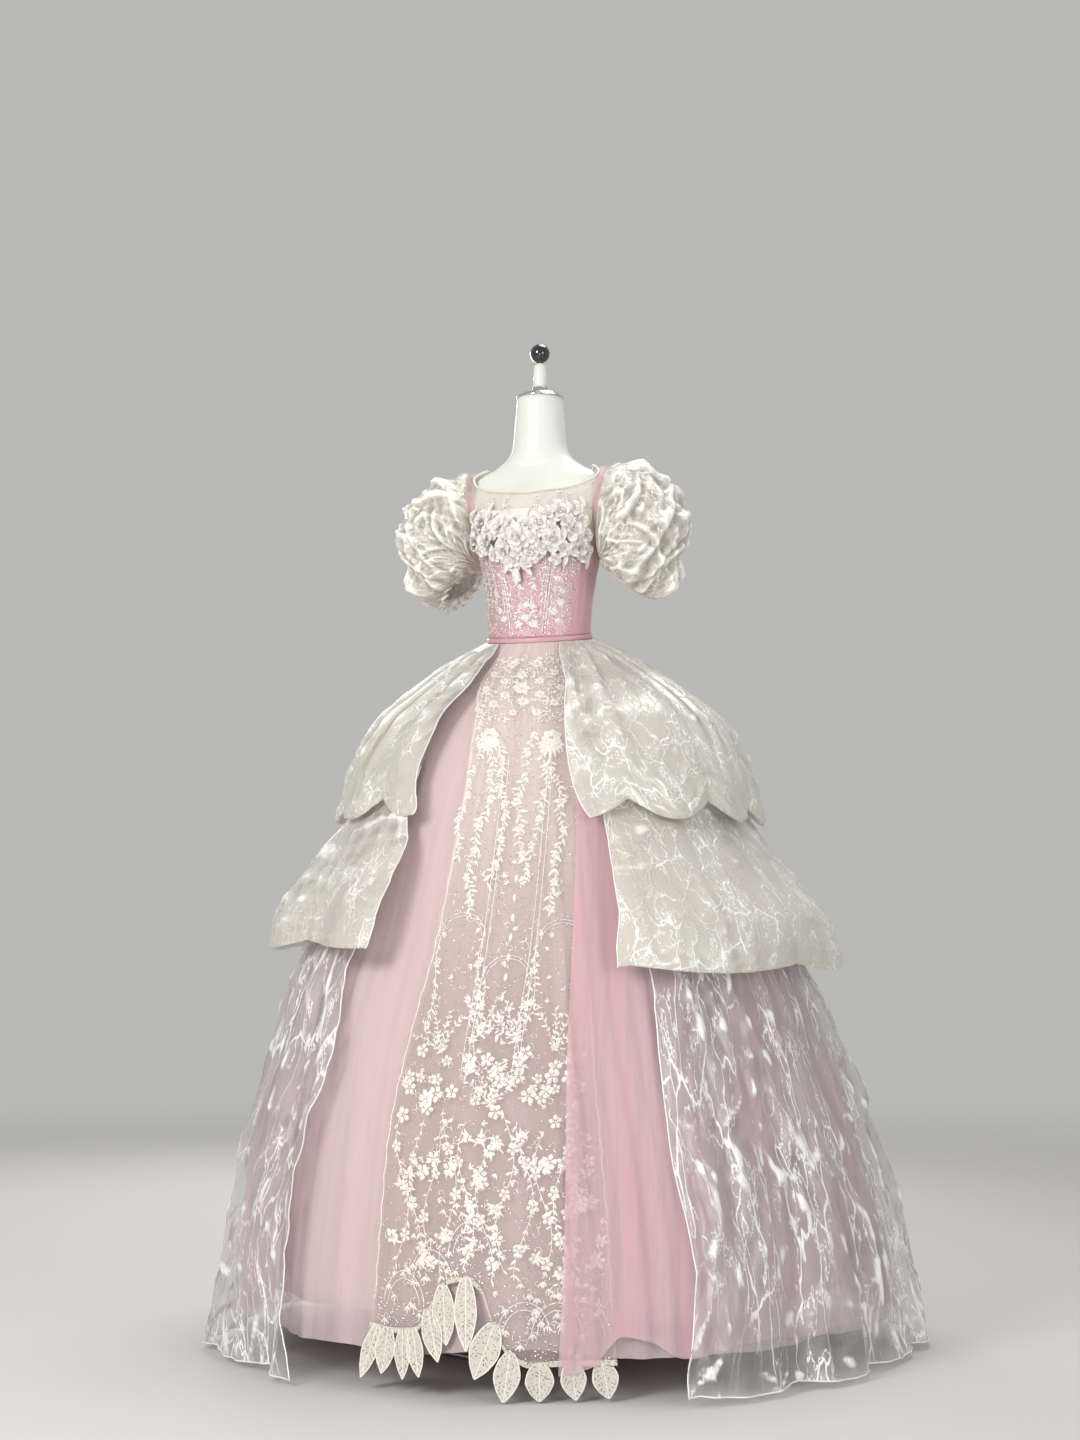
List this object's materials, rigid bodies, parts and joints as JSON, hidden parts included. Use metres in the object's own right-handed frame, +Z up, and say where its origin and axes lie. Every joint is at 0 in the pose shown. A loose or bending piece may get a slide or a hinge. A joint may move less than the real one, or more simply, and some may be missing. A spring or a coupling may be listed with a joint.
{
  "type": "ball gown on a dress form",
  "caption": "Puff-sleeved ball gown with a flower-banded bodice, a lace front over a full tulle skirt and a tiered organza overskirt, worn by a limbless dress form",
  "frame": {"origin": "on the floor under the middle of the pole, at the underside of the base", "axes": "+Z up, the gown faces -Y, +X is the wearer's left"},
  "size_m": [1.3085, 1.3102, 1.8911],
  "materials": {
    "form": "smooth satin off-white",
    "chrome": "polished",
    "knob": "polished",
    "steel": "brushed",
    "satin": "pink satin",
    "skirt_satin": "dusty pink satin",
    "tulle": "soft matt tulle",
    "tulle_pink": "soft matt pink tulle",
    "net": "sheer net",
    "lace": "embroidered lace",
    "leaf": "corded lace",
    "organza": "crisp bright organza",
    "flower": "soft satin petals"
  },
  "bodies": {
    "root": {"form_torso": "form", "form_neck_cap": "chrome", "form_post": "form", "form_knob": "knob", "form_pole": "steel", "form_base": "steel", "bodice_centre_front": "satin", "bodice_side_front_left": "satin", "bodice_side_front_right": "satin", "bodice_side_back_left": "satin", "bodice_side_back_right": "satin", "bodice_back_left": "satin", "bodice_back_right": "satin", "yoke_front": "net", "yoke_back_left": "net", "yoke_back_right": "net", "neck_binding": "organza", "waistband": "satin", "back_zip": "satin", "flower_band": "flower", "sleeve_left": "organza", "sleeve_right": "organza", "underskirt": "skirt_satin", "tulle_skirt": "tulle", "lace_panel": "lace", "leaf_hem": "leaf", "tulle_overlay": "tulle_pink", "overskirt_tier_1": "organza", "overskirt_tier_2": "organza", "overskirt_tier_3": "organza"}
  },
  "joints": []
}
